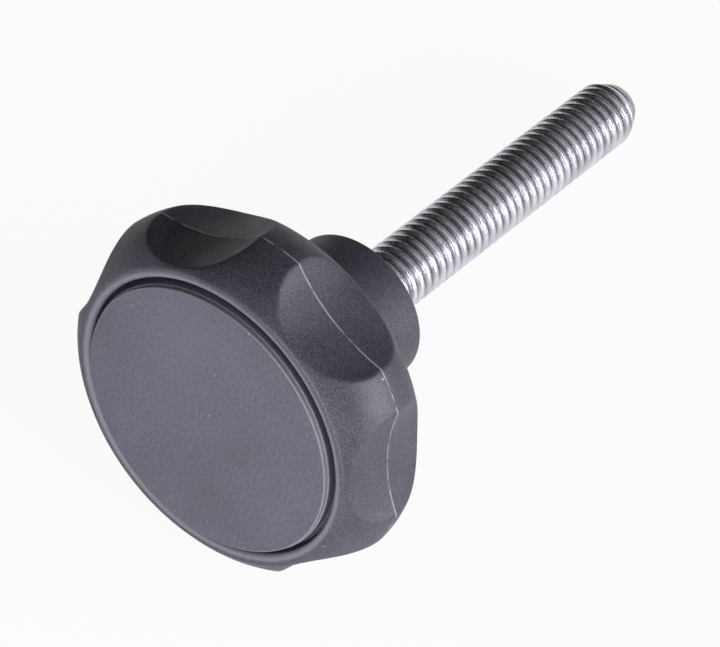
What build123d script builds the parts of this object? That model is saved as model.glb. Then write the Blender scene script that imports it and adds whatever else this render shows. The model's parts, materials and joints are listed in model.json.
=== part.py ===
from build123d import *
import math
import os

# A seven-lobed clamping knob with a threaded stud: a moulded body, a press-in cap and a steel screw.
# The knob lies as it rests on a bench, on two neighbouring lobes and on the end of its stud.
# The origin is the centre of the hub's seat face. All sizes are in millimetres.

# Body, outside
knob_diameter = 32.4
lobe_count = 7
front_height = 4.75           # parting plane to the front rim
back_height = 4.7             # parting plane to the back edge
hub_length = 9.8              # back edge to the seat face
front_arc_radius = 5.65
back_arc_radius = 5.65
scallop_depth = 1.87
scallop_radius = 13.8
scallop_draft = 5.0           # degrees, away from the parting plane on both sides
hub_seat_diameter = 13.4
hub_draft = 2.5               # degrees
hub_fillet = 1.2
back_cone_rise = 0.9          # from the back edge up to the foot of the hub
seat_chamfer = 0.3

# Body, inside
lip_width = 0.92              # rim between the outer wall and the cap's mouth
lip_round = 0.4               # rounded inner edge of the rim
mouth_depth = 1.5
ledge_width = 1.7
web_thickness = 2.6
boss_wall = 1.5
pocket_rise = 0.1             # cavity floor to the floor of the head's pocket, towards the cap

# Cap
groove_width = 0.55           # open ring between the mouth and the raised face
cap_stand = 0.45              # face stands proud of the rim
cap_flange = 0.45
cap_step_width = 0.12
cap_step_depth = 0.4          # from the face down to the step in its side
cap_plate = 1.9
cap_skirt_depth = 1.6
cap_skirt_wall = 1.2
cap_edge_radius = 0.2

# Screw
thread_diameter = 6.0
shank_diameter = 5.4          # plain part of the screw, held in the hub
screw_length = 50.0           # under the head
head_width = 10.0             # across flats
head_height = 4.0
head_chamfer = 0.45
tip_length = 2.0
tip_diameter = 4.0

# Fits
flange_clearance = 0.15       # cap's flange in the mouth, on the radius
skirt_clearance = 0.1         # cap's skirt in the cavity, on the radius
screw_clearance = 0.1         # screw in the hub's bore, on the radius
head_clearance = 0.1          # head in its pocket, on each flat

# Places along the stud, measured from the seat face, with the stud on the plus side
back_edge = -hub_length
parting = back_edge - back_height
rim = parting - front_height
ledge = rim + mouth_depth
cavity_floor = back_edge - web_thickness
head_seat = cavity_floor - pocket_rise
screw_grip = -head_seat
head_top = head_seat - head_height
cap_face = rim - cap_stand
stud_tip = screw_length - screw_grip
tip_start = stud_tip - tip_length

# Radii about the stud
knob_radius = knob_diameter / 2
thread_radius = thread_diameter / 2
rim_radius = knob_radius - front_arc_radius + math.sqrt(front_arc_radius**2 - front_height**2)
back_edge_radius = knob_radius - back_arc_radius + math.sqrt(back_arc_radius**2 - back_height**2)
hub_seat_radius = hub_seat_diameter / 2
hub_foot = back_edge + back_cone_rise
hub_foot_radius = hub_seat_radius - hub_foot * math.tan(math.radians(hub_draft))
mouth_radius = rim_radius - lip_width
cavity_radius = mouth_radius - ledge_width
head_corner_radius = head_width / math.sqrt(3)
pocket_width = head_width + 2 * head_clearance
boss_radius = pocket_width / math.sqrt(3) + boss_wall
bore_radius = thread_radius + screw_clearance
face_radius = mouth_radius - groove_width
flange_radius = mouth_radius - flange_clearance
skirt_radius = cavity_radius - skirt_clearance

# Each scallop is a drafted hollow whose axis stands outside the knob.
scallop_axis = knob_radius - scallop_depth + scallop_radius
draft_slope = math.tan(math.radians(scallop_draft))
front_cut = front_height + 1.0
back_cut = back_height + 1.0

# At rest a scallop faces down. The line under the knob touches the corners of the two lobes beside it,
# on their back arcs, and the edge where the stud's tip starts.
corner_cosine = (knob_radius**2 + scallop_axis**2 - scallop_radius**2) / (2 * knob_radius * scallop_axis)
arc_offset = knob_radius * corner_cosine - back_arc_radius - thread_radius
arc_distance = math.hypot(arc_offset, tip_start - parting)
lean = math.atan2(arc_offset, tip_start - parting) + math.asin(back_arc_radius / arc_distance)

# The knob's own plane lies on the seat face, with x towards the bench and z along the stud.
own = Plane(
    origin=(0, 0, 0),
    x_dir=(-math.sin(lean), 0, -math.cos(lean)),
    z_dir=(math.cos(lean), 0, -math.sin(lean)),
)
# Profiles are drawn with x as the radius and y along the stud.
profile = Plane(origin=own.origin, x_dir=own.x_dir, z_dir=-own.y_dir)
stud_axis = Axis(own.origin, own.z_dir)


def rings_of_radius(piece, radius):
    """The piece's round edges of one radius, from the face end to the stud end."""
    rings = piece.edges().filter_by(GeomType.CIRCLE)
    return rings.filter_by(lambda ring: abs(ring.radius - radius) < 1e-6).sort_by(stud_axis)


# Moulded body: lobed grip, conical hub, and a cavity with a boss that holds the screw's head
with BuildPart(own.offset(parting)) as knob_body:
    with BuildSketch(profile):
        with BuildLine():
            Polyline(
                (knob_radius, parting),
                (0, parting),
                (0, 0),
                (hub_seat_radius - seat_chamfer, 0),
                (hub_seat_radius, -seat_chamfer),
                (hub_foot_radius, hub_foot),
                (back_edge_radius, back_edge),
            )
            TangentArc((knob_radius, parting), (back_edge_radius, back_edge), tangent=(0, 1))
        make_face()
        with BuildLine():
            Polyline((knob_radius, parting), (0, parting), (0, rim), (rim_radius, rim))
            TangentArc((knob_radius, parting), (rim_radius, rim), tangent=(0, -1))
        make_face()
    revolve(axis=stud_axis)
    fillet(rings_of_radius(knob_body, hub_foot_radius), hub_fillet)
    with PolarLocations(scallop_axis, lobe_count):
        Cone(
            scallop_radius,
            scallop_radius + back_cut * draft_slope,
            back_cut,
            align=(Align.CENTER, Align.CENTER, Align.MIN),
            mode=Mode.SUBTRACT,
        )
        Cone(
            scallop_radius + front_cut * draft_slope,
            scallop_radius,
            front_cut,
            align=(Align.CENTER, Align.CENTER, Align.MAX),
            mode=Mode.SUBTRACT,
        )
    with BuildSketch(profile):
        with BuildLine():
            Polyline(
                (mouth_radius + lip_round, rim),
                (0, rim),
                (0, head_top),
                (boss_radius, head_top),
                (boss_radius, cavity_floor),
                (cavity_radius, cavity_floor),
                (cavity_radius, ledge),
                (mouth_radius, ledge),
                (mouth_radius, rim + lip_round),
            )
            TangentArc(
                (mouth_radius, rim + lip_round), (mouth_radius + lip_round, rim), tangent=(0, -1)
            )
        make_face()
    revolve(axis=stud_axis, mode=Mode.SUBTRACT)
    with BuildSketch(own.offset(head_top)):
        RegularPolygon(pocket_width / 2, 6, major_radius=False)
    extrude(amount=head_height, mode=Mode.SUBTRACT)
    with BuildSketch(own.offset(head_seat)):
        Circle(bore_radius)
    extrude(amount=screw_grip, mode=Mode.SUBTRACT)
knob_body.part.label = "knob_body"

# Cap: a disc whose flange sits on the ledge in the mouth, with a skirt pressed into the cavity
with BuildPart() as cap:
    with BuildSketch(profile):
        with BuildLine():
            Polyline(
                (0, cap_face),
                (face_radius, cap_face),
                (face_radius, cap_face + cap_step_depth),
                (face_radius + cap_step_width, cap_face + cap_step_depth),
                (face_radius + cap_step_width, ledge - cap_flange),
                (flange_radius, ledge - cap_flange),
                (flange_radius, ledge),
                (skirt_radius, ledge),
                (skirt_radius, ledge + cap_skirt_depth),
                (skirt_radius - cap_skirt_wall, ledge + cap_skirt_depth),
                (skirt_radius - cap_skirt_wall, cap_face + cap_plate),
                (0, cap_face + cap_plate),
                close=True,
            )
        make_face()
    revolve(axis=stud_axis)
    fillet(rings_of_radius(cap, face_radius)[0], cap_edge_radius)
cap.part.label = "cap"

# Screw: hexagon head in the boss, plain shank in the hub, the thread as its outer cylinder, and a pointed tip
with BuildPart() as stud:
    with BuildSketch(own.offset(head_seat)):
        RegularPolygon(head_width / 2, 6, major_radius=False)
    extrude(amount=-head_height)
    with BuildSketch(profile):
        with BuildLine():
            Polyline(
                (0, head_seat),
                (head_corner_radius, head_seat),
                (head_corner_radius, head_top + head_chamfer),
                (head_width / 2, head_top),
                (0, head_top),
                close=True,
            )
        make_face()
    revolve(axis=stud_axis, mode=Mode.INTERSECT)
    with BuildSketch(profile):
        with BuildLine():
            Polyline(
                (0, head_seat),
                (shank_diameter / 2, head_seat),
                (shank_diameter / 2, 0),
                (thread_radius, 0),
                (thread_radius, tip_start),
                (tip_diameter / 2, stud_tip),
                (0, stud_tip),
                close=True,
            )
        make_face()
    revolve(axis=stud_axis)
stud.part.label = "stud"

os.makedirs("parts", exist_ok=True)
for name, piece in (("knob_body", knob_body), ("cap", cap), ("stud", stud)):
    export_step(piece.part, f"parts/{name}.step")
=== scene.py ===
import json
import math

import bmesh
import bpy
import numpy as np
from mathutils import Matrix, Vector


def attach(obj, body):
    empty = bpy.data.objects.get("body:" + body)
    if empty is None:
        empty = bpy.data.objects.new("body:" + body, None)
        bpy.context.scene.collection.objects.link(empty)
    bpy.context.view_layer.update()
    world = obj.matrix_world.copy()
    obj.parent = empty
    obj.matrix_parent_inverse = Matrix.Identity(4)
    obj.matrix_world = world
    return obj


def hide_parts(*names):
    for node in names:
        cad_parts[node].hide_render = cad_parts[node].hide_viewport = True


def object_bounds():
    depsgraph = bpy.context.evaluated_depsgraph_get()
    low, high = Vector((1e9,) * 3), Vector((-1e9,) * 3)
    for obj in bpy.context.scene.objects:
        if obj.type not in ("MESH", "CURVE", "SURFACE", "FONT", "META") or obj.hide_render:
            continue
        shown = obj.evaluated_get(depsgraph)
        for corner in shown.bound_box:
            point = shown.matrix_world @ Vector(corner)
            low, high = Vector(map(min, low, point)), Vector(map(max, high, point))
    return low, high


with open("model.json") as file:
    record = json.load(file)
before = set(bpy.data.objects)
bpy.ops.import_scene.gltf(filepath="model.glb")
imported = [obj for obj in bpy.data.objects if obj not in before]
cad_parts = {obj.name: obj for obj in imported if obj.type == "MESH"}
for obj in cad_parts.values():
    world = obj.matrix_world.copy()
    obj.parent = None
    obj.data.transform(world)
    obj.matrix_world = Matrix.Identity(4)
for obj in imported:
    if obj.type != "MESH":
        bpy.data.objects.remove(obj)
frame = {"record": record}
cad_low, cad_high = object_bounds()

MM = 0.001


# Bench: the knob lies on a plain white top under soft studio light. The knob rests on two lobes and
# on the end of its stud, so the bench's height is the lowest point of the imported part.
class Socket:
    """A node's output, with the arithmetic that a shader or geometry expression uses."""

    def __init__(self, tree, output):
        self.tree = tree
        self.output = output

    def _math(self, operation, *values):
        return self.tree.node("Math", "Value", {"operation": operation}, dict(enumerate(values)))

    def __add__(self, other):
        return self._math("ADD", self, other)

    def __sub__(self, other):
        return self._math("SUBTRACT", self, other)

    def __rsub__(self, other):
        return self._math("SUBTRACT", other, self)

    def __mul__(self, other):
        return self._math("MULTIPLY", self, other)

    __rmul__ = __mul__

    def __truediv__(self, other):
        return self._math("DIVIDE", self, other)

    def __rtruediv__(self, other):
        return self._math("DIVIDE", other, self)

    def __pow__(self, power):
        return self._math("POWER", self, power)

    def __rpow__(self, base):
        return self._math("POWER", base, self)

    def __abs__(self):
        return self._math("ABSOLUTE", self)

    def call(self, operation, *others):
        """Any other operation of the Math node, such as SMOOTH_MIN."""
        return self._math(operation, self, *others)


class Tree:
    """A node tree that is filled with one method, for materials, the world and geometry alike."""

    def __init__(self, tree, prefix="ShaderNode"):
        self.tree = tree
        self.prefix = prefix

    def node(self, kind, output=0, settings=None, values=None):
        """Adds a node, sets its options and inputs, and gives one output, or the node if that is None."""
        prefix = "ShaderNode" if kind in ("Math", "MapRange") else self.prefix
        made = self.tree.nodes.new(kind if "Node" in kind else prefix + kind)
        for name, value in (settings or {}).items():
            setattr(made, name, value)
        for name, value in (values or {}).items():
            if isinstance(value, Socket):
                self.tree.links.new(value.output, made.inputs[name])
            else:
                made.inputs[name].default_value = value
        return Socket(self, made.outputs[output]) if output is not None else made


def blank_finish(name):
    """A new material, and its node tree with nothing in it."""
    made = bpy.data.materials.new(name)
    made.use_nodes = True
    made.node_tree.nodes.clear()
    return made, Tree(made.node_tree)


floor_height = cad_low[2]
floor_half = 1.2
floor_colour = (0.86, 0.86, 0.87, 1.0)
glow_colour = (1.0, 1.0, 1.0, 1.0)
camera_white = 0.93
gloss_white = 0.72

floor_turns = ((-1, -1), (1, -1), (1, 1), (-1, 1))
floor_corners = [(x * floor_half, y * floor_half, floor_height) for x, y in floor_turns]
floor_mesh = bpy.data.meshes.new("bench_top")
floor_mesh.from_pydata(floor_corners, [], [(0, 1, 2, 3)])
bench_top = bpy.data.objects.new("bench_top", floor_mesh)
bpy.context.collection.objects.link(bench_top)

bench_finish, bench = blank_finish("bench_white")
rays = bench.node("LightPath", None)
lit = bench.node("BsdfDiffuse", values={"Color": floor_colour})
glow = bench.node("Emission", values={"Color": glow_colour, "Strength": 1.0})
seen = Socket(bench, rays.outputs["Is Camera Ray"])
seen_in_gloss = Socket(bench, rays.outputs["Is Glossy Ray"])
seen_through = Socket(bench, rays.outputs["Is Transmission Ray"])
share = (seen * camera_white + (seen_in_gloss + seen_through) * gloss_white).call("MINIMUM", 1.0)
surface = bench.node("MixShader", values={0: share, 1: lit, 2: glow})
bench.node("OutputMaterial", None, values={"Surface": surface})
floor_mesh.materials.append(bench_finish)


# Light: one broad soft box stands low on the near side, a small one faces the cap and a weak one hangs
# over both, in a dim room. The far side stays dark, so the lobes and the thread keep their modelling.
room_dark = 0.02
room_bright = 0.42
room = bpy.data.worlds.new("studio")
bpy.context.scene.world = room
room.use_nodes = True
room.node_tree.nodes.clear()
sky = Tree(room.node_tree)
world_rays = sky.node("LightPath", None)
direction = sky.node("TexCoord", "Generated")
spread = sky.node("SeparateXYZ", None, values={"Vector": direction})
near_side = Socket(sky, spread.outputs["Y"]) * -0.5 + 0.5
room_level = sky.node(
    "MapRange",
    settings={"interpolation_type": "SMOOTHSTEP"},
    values={
        "Value": near_side,
        "From Min": 0.15,
        "From Max": 0.95,
        "To Min": room_dark,
        "To Max": room_bright,
    },
)
camera_ray = Socket(sky, world_rays.outputs["Is Camera Ray"])
level = camera_ray + (1 - camera_ray) * room_level
backdrop = sky.node("Background", values={"Color": (1.0, 1.0, 1.0, 1.0), "Strength": level})
sky.node("OutputWorld", None, values={"Surface": backdrop})


def soft_box(name, target, azimuth, elevation, distance, size, power, colour):
    """A square lamp that faces the target from a bearing and a height, in degrees and metres."""
    turned = math.radians(azimuth)
    raised = math.radians(elevation)
    flat = math.cos(raised)
    bearing = Vector((flat * math.cos(turned), flat * math.sin(turned), math.sin(raised)))
    lamp_data = bpy.data.lights.new(name, "AREA")
    lamp_data.shape = "SQUARE"
    lamp_data.size = size
    lamp_data.energy = power
    lamp_data.color = colour
    lamp = bpy.data.objects.new(name, lamp_data)
    lamp.location = target + bearing * distance
    lamp.rotation_euler = bearing.to_track_quat("Z", "Y").to_euler()
    bpy.context.collection.objects.link(lamp)
    return lamp


middle = (Vector(cad_low) + Vector(cad_high)) / 2
cap_side = Vector((cad_low[0], 0.0, 0.0))
lamp_tint = (0.94, 0.93, 1.0)
soft_box("near_box", middle, azimuth=-78, elevation=8, distance=0.40, size=0.36, power=3.3, colour=lamp_tint)
cap_box = soft_box(
    "cap_box", cap_side, azimuth=-172, elevation=6, distance=0.10, size=0.05, power=0.12, colour=lamp_tint
)
cap_box.visible_camera = False
soft_box(
    "high_box", middle, azimuth=-140, elevation=60, distance=0.60, size=0.45, power=0.30, colour=lamp_tint
)


# Camera: a long lens that looks down on the knob from above the cap's side, so that the cap's face, the
# near lobes and the whole length of the stud are in view.
lens = 196.7
sensor_width = 36.0
camera_distance = 326.0 * MM
camera_back = Vector((-0.43961213, -0.33712934, 0.83251726))
camera_up = Vector((0.62982065, 0.54512092, 0.55332553))
camera_aim = Vector((-0.94, -1.13, -0.62)) * MM
camera_right = camera_up.cross(camera_back).normalized()
camera_up = camera_back.cross(camera_right).normalized()
camera_data = bpy.data.cameras.new("camera")
camera_data.lens = lens
camera_data.sensor_width = sensor_width
camera_data.clip_start = 0.01
camera = bpy.data.objects.new("camera", camera_data)
turn = Matrix((camera_right, camera_up, camera_back.normalized())).transposed()
camera.matrix_world = Matrix.Translation(camera_aim + camera_back * camera_distance) @ turn.to_4x4()
bpy.context.collection.objects.link(camera)
bpy.context.scene.camera = camera
bpy.context.scene.view_settings.view_transform = "Standard"


# Body: one moulding of black glass-filled plastic with a fine matt grain. Seven scallops are cut into a
# rounded rim, the mould's parting line runs round its widest place, and a conical hub carries the screw.
stud_mount = next(mount for mount in frame["record"]["mounts"] if mount["name"] == "stud")
stud_direction = Vector(stud_mount["axis"])
lean = math.atan2(-stud_direction.z, stud_direction.x)
own_x = Vector((-math.sin(lean), 0.0, -math.cos(lean)))
own_y = Vector((0.0, 1.0, 0.0))
own_frame = Matrix((own_x, own_y, stud_direction)).transposed().to_4x4()

# Sizes in millimetres, from the hub's seat face along the stud and out from its axis
knob_radius = 16.2
rim = -19.25
parting = -14.5
back_edge = -9.8
rim_arc = 5.65
rim_radius = 13.61
back_edge_radius = 13.69
mouth_radius = 12.69
lip_round = 0.4
ledge = -17.75
cavity_radius = 10.99
cavity_floor = -12.4
boss_radius = 7.39
boss_top = -16.5
pocket_radius = 5.95
pocket_floor = -12.5
bore_radius = 3.1
hub_radius = 6.7
hub_foot = -8.9
hub_foot_radius = 7.09
hub_fillet = 1.2
foot_start = hub_foot - 0.17
back_lift = 0.015
seat_round = 0.3
lobe_count = 7
scallop_radius = 13.8
scallop_axis = 28.13
scallop_draft = 5.0
edge_softness = 0.24
flash_height = 0.05
flash_width = 0.05
wall_from = 13.9
body_segments = 700

# Left between one run of a profile and the next, so that a corner's shading turns within a short step
short_gap = 0.05
mid_gap = 0.08
long_gap = 0.1
edge_gap = 0.12


def on_circle(centre, radius, angle):
    """A point of a circle in the profile plane, at an angle in degrees."""
    turned = math.radians(angle)
    return centre[0] + radius * math.cos(turned), centre[1] + radius * math.sin(turned)


def arc(centre, radius, start, end, count):
    """Points of a circular arc in the profile plane, angles in degrees."""
    return [on_circle(centre, radius, angle) for angle in np.linspace(start, end, count)]


def spaced(start, end, count):
    """Points along a straight run, both ends included."""
    return [tuple(point) for point in np.linspace(start, end, count)]


def revolved(name, profile, segments):
    """A closed shell turned about the stud's axis. A profile point on the axis becomes a pole."""
    same_place = 1e-5
    on_axis = 1e-6
    points = [
        point for i, point in enumerate(profile) if i == 0 or math.dist(point, profile[i - 1]) > same_place
    ]
    vertices = []
    rows = []
    for radius, height in points:
        if radius < on_axis:
            rows.append([len(vertices)] * segments)
            vertices.append((0.0, 0.0, height * MM))
            continue
        rows.append(list(range(len(vertices), len(vertices) + segments)))
        for step in range(segments):
            angle = 2 * math.pi * step / segments
            vertices.append((radius * math.cos(angle) * MM, radius * math.sin(angle) * MM, height * MM))
    closed = points[0][0] > on_axis
    faces = []
    for low, high in zip(rows, rows[1:] + (rows[:1] if closed else [])):
        for step in range(segments):
            after = (step + 1) % segments
            corners = (low[step], low[after], high[after], high[step])
            face = tuple(dict.fromkeys(corners))
            if len(face) > 2:
                faces.append(face)
    mesh = bpy.data.meshes.new(name)
    mesh.from_pydata(vertices, [], faces)
    piece = bpy.data.objects.new(name, mesh)
    bpy.context.collection.objects.link(piece)
    return piece


def turned_out(mesh):
    """Makes every face of a closed shell point outwards and shades it smooth."""
    shell = bmesh.new()
    shell.from_mesh(mesh)
    bmesh.ops.remove_doubles(shell, verts=shell.verts, dist=1e-8)
    bmesh.ops.recalc_face_normals(shell, faces=shell.faces)
    shell.to_mesh(mesh)
    shell.free()
    mesh.shade_smooth()


def grown(piece, tree_name, inputs, build, finish):
    """Runs a geometry tree over a piece, keeps the result as its plain mesh, and puts it in place."""
    group = bpy.data.node_groups.new(tree_name, "GeometryNodeTree")
    group.interface.new_socket("Geometry", in_out="INPUT", socket_type="NodeSocketGeometry")
    sockets = {}
    for label, value in inputs.items():
        made = group.interface.new_socket(label, in_out="INPUT", socket_type="NodeSocketFloat")
        sockets[label] = (made.identifier, value)
    group.interface.new_socket("Geometry", in_out="OUTPUT", socket_type="NodeSocketGeometry")
    tree = Tree(group, "GeometryNode")
    entry = tree.node("NodeGroupInput", None)
    given = {label: Socket(tree, entry.outputs[label]) for label in inputs}
    shaped = build(tree, Socket(tree, entry.outputs["Geometry"]), given)
    real = tree.node("RealizeInstances", values={"Geometry": shaped})
    dressed = tree.node("SetMaterial", values={"Geometry": real, "Material": finish})
    tree.node("NodeGroupOutput", None, values={"Geometry": dressed})
    modifier = piece.modifiers.new(tree_name, "NODES")
    modifier.node_group = group
    for identifier, value in sockets.values():
        modifier[identifier] = value
    depsgraph = bpy.context.evaluated_depsgraph_get()
    depsgraph.update()
    result = bpy.data.meshes.new_from_object(piece.evaluated_get(depsgraph), depsgraph=depsgraph)
    piece.modifiers.remove(modifier)
    piece.data = result
    turned_out(result)
    result.transform(own_frame)


def polar(tree):
    """Radius, angle and height of each vertex about the stud's axis, in metres and radians."""
    place = tree.node("ShaderNodeSeparateXYZ", None, values={"Vector": tree.node("InputPosition")})
    east, north, height = (Socket(tree, place.outputs[name]) for name in "XYZ")
    return (east * east + north * north) ** 0.5, north.call("ARCTAN2", east), height


def placed(tree, geometry, radius, angle, height):
    """Moves each vertex to a radius, an angle and a height about the stud's axis."""
    place = tree.node(
        "ShaderNodeCombineXYZ",
        values={"X": radius * angle.call("COSINE"), "Y": radius * angle.call("SINE"), "Z": height},
    )
    return tree.node("SetPosition", values={"Geometry": geometry, "Position": place})


def lobed(tree, geometry, given):
    """Cuts drafted scallops into the rim with a soft edge, and raises the line where the mould parted."""
    flash_gain = 1.6
    flash_break = 0.1
    radius, angle, height = polar(tree)
    half_pitch = math.pi / given["Lobes"]
    folded = angle.call("WRAP", half_pitch, -1 * half_pitch)
    offset = abs(height - given["Parting"])
    hollow = given["Scallop Radius"] + offset * given["Draft"]
    across = given["Scallop Axis"] * folded.call("SINE")
    scallop = given["Scallop Axis"] * folded.call("COSINE") - (hollow * hollow - across * across) ** 0.5
    cut = radius.call("SMOOTH_MIN", scallop, given["Edge Softness"])
    flicker = tree.node(
        "ShaderNodeTexNoise",
        settings={"noise_dimensions": "3D"},
        values={"Scale": 900.0, "Detail": 2.0, "Roughness": 0.6},
    )
    bell = math.e ** (-1 * (offset / given["Flash Width"]) ** 2)
    outer = (radius - given["Outer Wall"]).call("GREATER_THAN", 0.0)
    flash = given["Flash Height"] * bell * (flicker * flash_gain - flash_break) * outer
    limited = (cut + flash).call("MINIMUM", given["Knob Radius"])
    return placed(tree, geometry, limited, angle, height)


def own_coordinates(tree):
    """The piece's own axes inside a material: depth towards the bench, width, and height along the stud."""
    spot = tree.node("TexCoord", "Object")
    return tree.node(
        "Mapping",
        settings={"vector_type": "POINT"},
        values={"Vector": spot, "Rotation": own_frame.to_3x3().transposed().to_euler()},
    )


def blend(tree, factor, first, second):
    """Mixes two colours."""
    made = tree.node("Mix", None, {"data_type": "RGBA"})
    for slot, value in ((0, factor), (6, first), (7, second)):
        if isinstance(value, Socket):
            tree.tree.links.new(value.output, made.inputs[slot])
        else:
            made.inputs[slot].default_value = value
    return Socket(tree, made.outputs[2])


def grain_noise(tree, vector, scale, detail=2.0, roughness=0.5):
    """Fine noise, from 0 to 1, at a number of cells per metre."""
    return tree.node(
        "TexNoise", values={"Vector": vector, "Scale": scale, "Detail": detail, "Roughness": roughness}
    )


def between(tree, value, low, high, to_low=0.0, to_high=1.0):
    """Maps a value smoothly from one range to another, held at both ends."""
    return tree.node(
        "MapRange",
        settings={"interpolation_type": "SMOOTHSTEP"},
        values={"Value": value, "From Min": low, "From Max": high, "To Min": to_low, "To Max": to_high},
    )


def specks(tree, vector, scale, size, share):
    """Small round dust marks: 1 on a speck, 0 elsewhere. Share is the part of the cells that has one."""
    cell = tree.node("TexVoronoi", None, values={"Vector": vector, "Scale": scale})
    near = between(tree, Socket(tree, cell.outputs["Distance"]), size, size * 0.5)
    pick = tree.node("SeparateColor", "Red", values={"Color": Socket(tree, cell.outputs["Color"])})
    return near * pick.call("LESS_THAN", share)


def axis_distance(tree, axes):
    """Distance from the stud's axis, from a split own-coordinate vector."""
    depth = Socket(tree, axes.outputs["X"])
    width = Socket(tree, axes.outputs["Y"])
    return (depth * depth + width * width) ** 0.5


plastic_black = (0.018, 0.018, 0.024, 1.0)
plastic_pale = (0.088, 0.086, 0.112, 1.0)
flash_grey = (0.33, 0.32, 0.34, 1.0)
# Paler grey of the painted highlights on the mouth's lip and the cap's edges, and of the band on the rim's
# back edge
pale_edge_grey = (0.26, 0.255, 0.29, 1.0)
dust_white = (0.60, 0.60, 0.62, 1.0)
fine_share = 0.85
flash_share = 0.85
lip_highlight_share = 0.45
edge_share = 0.6
dust_share = 0.7
flash_drift = 0.10

body_finish, skin = blank_finish("grained_black_plastic")
skin_place = own_coordinates(skin)
skin_axes = skin.node("SeparateXYZ", None, values={"Vector": skin_place})
skin_height = Socket(skin, skin_axes.outputs["Z"])
skin_radius = axis_distance(skin, skin_axes)
fine_grain = grain_noise(skin, skin_place, scale=9000.0, detail=2.0, roughness=0.6)
broad_grain = grain_noise(skin, skin_place, scale=240.0, detail=3.0, roughness=0.5)
mottled = between(skin, fine_grain * fine_share + broad_grain * (1 - fine_share), low=0.36, high=0.70)
plastic = blend(skin, mottled, plastic_black, plastic_pale)

line_wander = (grain_noise(skin, skin_place, scale=300.0) - 0.5) * (flash_drift * MM)
line_break = between(skin, grain_noise(skin, skin_place, scale=700.0), low=0.36, high=0.50)
line_distance = abs(skin_height - parting * MM + line_wander)
parting_line = between(skin, line_distance, low=0.085 * MM, high=0.035 * MM) * line_break
plastic = blend(skin, parting_line * flash_share, plastic, flash_grey)

# Painted highlight: a paler grey band on the rounded lip of the mouth, where light catches the edge, and a
# paler band of the same grey along the back edge of the rim
on_lip = between(skin, skin_radius, low=(mouth_radius + 0.75) * MM, high=(mouth_radius + 0.35) * MM)
on_front = between(skin, skin_height, low=(rim + 0.5) * MM, high=(rim + 0.25) * MM)
at_back = between(skin, abs(skin_height - back_edge * MM), low=0.10 * MM, high=0.03 * MM)
on_rim = between(skin, skin_radius, low=13.3 * MM, high=13.5 * MM)
lip_highlight_and_edge_band = (on_lip * on_front * lip_highlight_share + at_back * on_rim * edge_share).call("MINIMUM", 1.0)
plastic = blend(skin, lip_highlight_and_edge_band, plastic, pale_edge_grey)

dust = specks(skin, skin_place, scale=900.0, size=0.10, share=0.05)
plastic = blend(skin, dust * dust_share, plastic, dust_white)
skin_bump = skin.node("Bump", values={"Height": fine_grain, "Strength": 0.35, "Distance": 0.03 * MM})
skin_shader = skin.node(
    "BsdfPrincipled",
    values={
        "Base Color": plastic,
        "Roughness": between(skin, broad_grain, low=0.3, high=0.7, to_low=0.46, to_high=0.58),
        "Normal": skin_bump,
        "IOR": 1.5,
    },
)
skin.node("OutputMaterial", None, values={"Surface": skin_shader})

# The rim's points crowd together near the parting line, where the raised flash is narrow
close_steps = [0.02, 0.05, 0.08, 0.12, 0.18, 0.28, 0.45]
front_steps = 26
back_steps = 24
rim_centre = (knob_radius - rim_arc, parting)
front_end = -math.degrees(math.asin((parting - rim) / rim_arc))
back_end = math.degrees(math.asin((back_edge - parting) / rim_arc))
close_angles = [math.degrees(step / rim_arc) for step in close_steps]
rim_angles = (
    list(np.linspace(front_end, -close_angles[-1], front_steps))
    + [-angle for angle in reversed(close_angles[:-1])]
    + [0.0]
    + close_angles[:-1]
    + list(np.linspace(close_angles[-1], back_end, back_steps))
)
back_start = (back_edge_radius - long_gap, back_edge + back_lift)
body_profile = (
    arc((mouth_radius + lip_round, rim + lip_round), lip_round, 180, 270, 7)
    + spaced((mouth_radius + lip_round + short_gap, rim), (rim_radius - edge_gap, rim), 3)
    + [on_circle(rim_centre, rim_arc, angle) for angle in rim_angles]
    + spaced(back_start, (hub_foot_radius + hub_fillet, foot_start), 16)
    + arc((hub_foot_radius + hub_fillet - mid_gap, foot_start + hub_fillet), hub_fillet, 265, 181, 9)
    + spaced((hub_foot_radius - short_gap, hub_foot + hub_fillet), (hub_radius, -seat_round), 10)
    + arc((hub_radius - seat_round, -seat_round), seat_round, 10, 90, 6)
    + spaced((hub_radius - seat_round - long_gap, 0.0), (bore_radius, 0.0), 6)
    + spaced((bore_radius, -2 * long_gap), (bore_radius, pocket_floor), 6)
    + [(pocket_radius, pocket_floor), (pocket_radius, boss_top), (boss_radius, boss_top)]
    + [(boss_radius, cavity_floor), (cavity_radius, cavity_floor), (cavity_radius, ledge)]
    + spaced((mouth_radius, ledge), (mouth_radius, rim + lip_round + short_gap), 4)
)
knob_shell = revolved("knob_shell", body_profile, body_segments)
grown(
    knob_shell,
    "lobed_rim",
    {
        "Lobes": float(lobe_count),
        "Scallop Radius": scallop_radius * MM,
        "Scallop Axis": scallop_axis * MM,
        "Draft": math.tan(math.radians(scallop_draft)),
        "Parting": parting * MM,
        "Edge Softness": edge_softness * MM,
        "Flash Height": flash_height * MM,
        "Flash Width": flash_width * MM,
        "Outer Wall": wall_from * MM,
        "Knob Radius": knob_radius * MM,
    },
    lobed,
    body_finish,
)
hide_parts("knob_body")
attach(knob_shell, "root")


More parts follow.
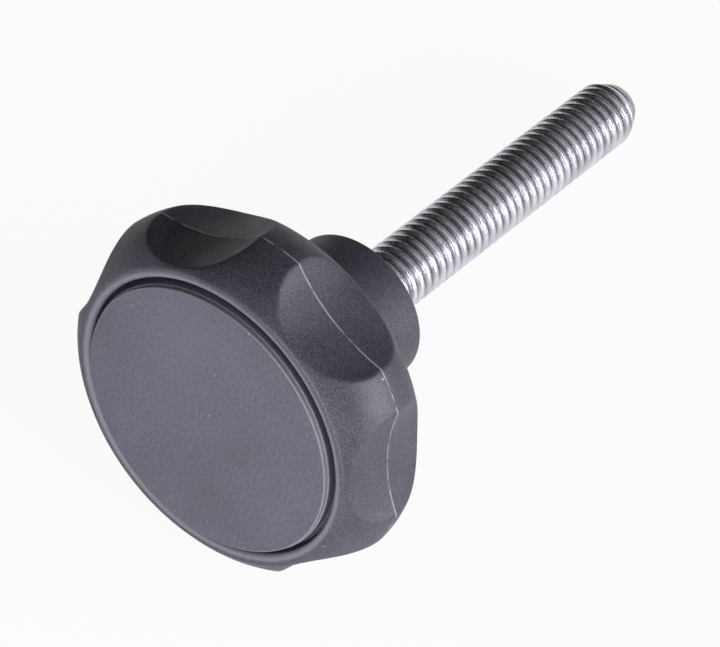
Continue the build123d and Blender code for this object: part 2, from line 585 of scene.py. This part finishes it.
# Cap: a thin black disc pressed into the mouth of the body. Its flat face is smoother than the body,
# with a small round on its edge and a step in its side, down in the open groove.
cap_face = -19.7
face_radius = 12.14
cap_edge = 0.14
step_depth = 0.4
step_width = 0.12
step_round = 0.05
step_radius = face_radius + step_width
step_height = cap_face + step_depth
side_start = cap_face + cap_edge + 0.04
side_end = step_height - 0.03
flange_top = ledge - 0.45
flange_radius = 12.54
skirt_radius = 10.89
skirt_inner = skirt_radius - 1.2
skirt_end = -16.15
plate_back = -17.8
cap_segments = 360
cap_dark = (0.050, 0.049, 0.066, 1.0)
cap_pale = (0.086, 0.084, 0.110, 1.0)
grain_share = 0.6
edge_highlight_share = 0.6
step_highlight_share = 0.5
cap_dust_share = 0.45

cap_finish, face = blank_finish("smooth_black_plastic")
face_place = own_coordinates(face)
face_grain = grain_noise(face, face_place, scale=3600.0, detail=3.0, roughness=0.6)
face_cloud = grain_noise(face, face_place, scale=90.0, detail=3.0, roughness=0.5)
face_mottle = between(face, face_grain * grain_share + face_cloud * (1 - grain_share), low=0.38, high=0.64)
face_colour = blend(face, face_mottle, cap_dark, cap_pale)

face_axes = face.node("SeparateXYZ", None, values={"Vector": face_place})
face_distance = axis_distance(face, face_axes)
# Painted highlight: thin paler lines on the cap's rounded edge and on the step in its side, where light
# catches them
edge_distance = abs(face_distance - (face_radius - 0.02) * MM)
edge_highlight = between(face, edge_distance, low=0.12 * MM, high=0.04 * MM)
step_highlight = between(face, abs(face_distance - step_radius * MM), low=0.07 * MM, high=0.02 * MM)
face_colour = blend(face, edge_highlight * edge_highlight_share + step_highlight * step_highlight_share, face_colour, pale_edge_grey)

large_dust = specks(face, face_place, scale=520.0, size=0.085, share=0.10)
small_dust = specks(face, face_place, scale=1100.0, size=0.10, share=0.05)
cap_dust = (large_dust + small_dust).call("MINIMUM", 1.0)
face_colour = blend(face, cap_dust * cap_dust_share, face_colour, dust_white)
face_bump = face.node("Bump", values={"Height": face_grain, "Strength": 0.22, "Distance": 0.02 * MM})
face_shader = face.node(
    "BsdfPrincipled",
    values={
        "Base Color": face_colour,
        "Roughness": between(face, face_cloud, low=0.3, high=0.7, to_low=0.40, to_high=0.50),
        "Normal": face_bump,
        "IOR": 1.5,
    },
)
face.node("OutputMaterial", None, values={"Surface": face_shader})

cap_profile = (
    spaced((0.0, cap_face), (face_radius - cap_edge - mid_gap, cap_face), 12)
    + arc((face_radius - cap_edge, cap_face + cap_edge), cap_edge, 270, 360, 7)
    + spaced((face_radius, side_start), (face_radius, side_end), 3)
    + arc((step_radius - step_round, step_height + step_round), step_round, 270, 360, 4)
    + spaced((step_radius, step_height + mid_gap), (step_radius, flange_top), 4)
    + [(flange_radius, flange_top), (flange_radius, ledge), (skirt_radius, ledge), (skirt_radius, skirt_end)]
    + [(skirt_inner, skirt_end), (skirt_inner, plate_back)]
    + spaced((skirt_inner - long_gap, plate_back), (0.0, plate_back), 4)
)
cap_disc = revolved("cap_disc", cap_profile, cap_segments)
cap_disc.data.materials.append(cap_finish)
turned_out(cap_disc.data)
cap_disc.data.transform(own_frame)
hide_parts("cap")
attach(cap_disc, "root")


# Screw: a steel hexagon screw with a rolled right-hand thread, bright zinc plated. Its head is held in
# the hub under the cap, and the thread runs from the seat face to the chamfered tip.
thread_radius = stud_mount["dims"]["r_mm"]
pitch = 1.0
thread_depth = 0.60
tip_start = stud_mount["dims"]["length_mm"]
stud_tip = 37.5
tip_radius = 2.0
tip_round = 0.15
shank_radius = 2.7
thread_from = 2.85
thread_start = -0.8
crest_share = 0.30
root_share = 0.95
head_seat = -12.5
head_top = -16.5
head_flats = 10.0
head_round = 0.25
shank_start = head_seat + 0.5
rows_per_turn = 15
screw_segments = 96


def threaded(tree, geometry, given):
    """A rolled right-hand thread: round crests and narrow roots, cut back by the tip's chamfer."""
    radius, angle, height = polar(tree)
    turn_share = height / given["Pitch"] - angle / (2 * math.pi)
    saw = abs(turn_share.call("FRACT") * 2 - 1)
    dip = between(tree, saw, given["Crest Share"], given["Root Share"])
    helix = given["Major Radius"] - given["Depth"] * dip
    cone = given["Major Radius"] - (height - given["Tip Start"]) * given["Tip Slope"]
    pointed = helix.call("SMOOTH_MIN", cone.call("MINIMUM", given["Major Radius"]), tip_round * MM)
    on_thread = (radius - given["Thread From"]).call("GREATER_THAN", 0.0)
    cut = radius * (1 - on_thread) + pointed.call("MINIMUM", given["Major Radius"]) * on_thread
    return placed(tree, geometry, cut, angle, height)


zinc_dull = (0.56, 0.56, 0.60, 1.0)
zinc_bright = (0.80, 0.80, 0.84, 1.0)
# Dark grey of the painted shade in the thread's roots
root_shade_grey = (0.10, 0.10, 0.13, 1.0)
root_shade_share = 0.62

zinc_finish, plate = blank_finish("bright_zinc_plate")
plate_place = own_coordinates(plate)
plate_grain = grain_noise(plate, plate_place, scale=2600.0, detail=4.0, roughness=0.65)
plate_cloud = grain_noise(plate, plate_place, scale=420.0, detail=3.0, roughness=0.55)
plate_colour = blend(plate, between(plate, plate_cloud, low=0.3, high=0.7), zinc_dull, zinc_bright)
plate_axes = plate.node("SeparateXYZ", None, values={"Vector": plate_place})
# Painted shade: the thread's roots are darkened in the colour, by distance from the axis, where shade falls
# in the narrow valleys
painted_root_shade = between(
    plate,
    axis_distance(plate, plate_axes),
    low=(thread_radius - 0.50) * MM,
    high=(thread_radius - 0.12) * MM,
    to_low=root_shade_share,
    to_high=0.0,
)
plate_colour = blend(plate, painted_root_shade, plate_colour, root_shade_grey)
plate_bump = plate.node("Bump", values={"Height": plate_grain, "Strength": 0.55, "Distance": 0.035 * MM})
plate_shader = plate.node(
    "BsdfPrincipled",
    values={
        "Base Color": plate_colour,
        "Metallic": 1.0,
        "Roughness": between(plate, plate_grain, low=0.3, high=0.7, to_low=0.20, to_high=0.36),
        "Normal": plate_bump,
    },
)
plate.node("OutputMaterial", None, values={"Surface": plate_shader})

thread_rows = int((stud_tip - thread_start) / pitch * rows_per_turn)
screw_profile = (
    [(0.0, shank_start), (shank_radius, shank_start)]
    + spaced((shank_radius, shank_start + long_gap), (shank_radius, thread_start - short_gap), 4)
    + spaced((thread_radius, thread_start), (thread_radius, stud_tip), thread_rows)
    + spaced((tip_radius - 0.25, stud_tip), (0.0, stud_tip), 4)
)
screw = revolved("screw", screw_profile, screw_segments)
grown(
    screw,
    "rolled_thread",
    {
        "Pitch": pitch * MM,
        "Major Radius": thread_radius * MM,
        "Depth": thread_depth * MM,
        "Crest Share": crest_share,
        "Root Share": root_share,
        "Tip Start": (tip_start + 0.1) * MM,
        "Tip Slope": (thread_radius - tip_radius) / (stud_tip - tip_start),
        "Thread From": thread_from * MM,
    },
    threaded,
    zinc_finish,
)

head_corner = head_flats / math.sqrt(3) * MM
head_place = Matrix.Translation((0.0, 0.0, (head_seat + head_top) / 2 * MM))
head_turn = Matrix.Rotation(math.radians(30.0), 4, "Z")
head = bmesh.new()
bmesh.ops.create_cone(
    head,
    cap_ends=True,
    segments=6,
    radius1=head_corner,
    radius2=head_corner,
    depth=(head_seat - head_top) * MM,
    matrix=own_frame @ head_place @ head_turn,
)
bmesh.ops.bevel(head, geom=head.edges[:], offset=head_round * MM, segments=2, affect="EDGES")
bmesh.ops.recalc_face_normals(head, faces=head.faces)
head.from_mesh(screw.data)
head.to_mesh(screw.data)
head.free()
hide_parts("stud")
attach(screw, "root")
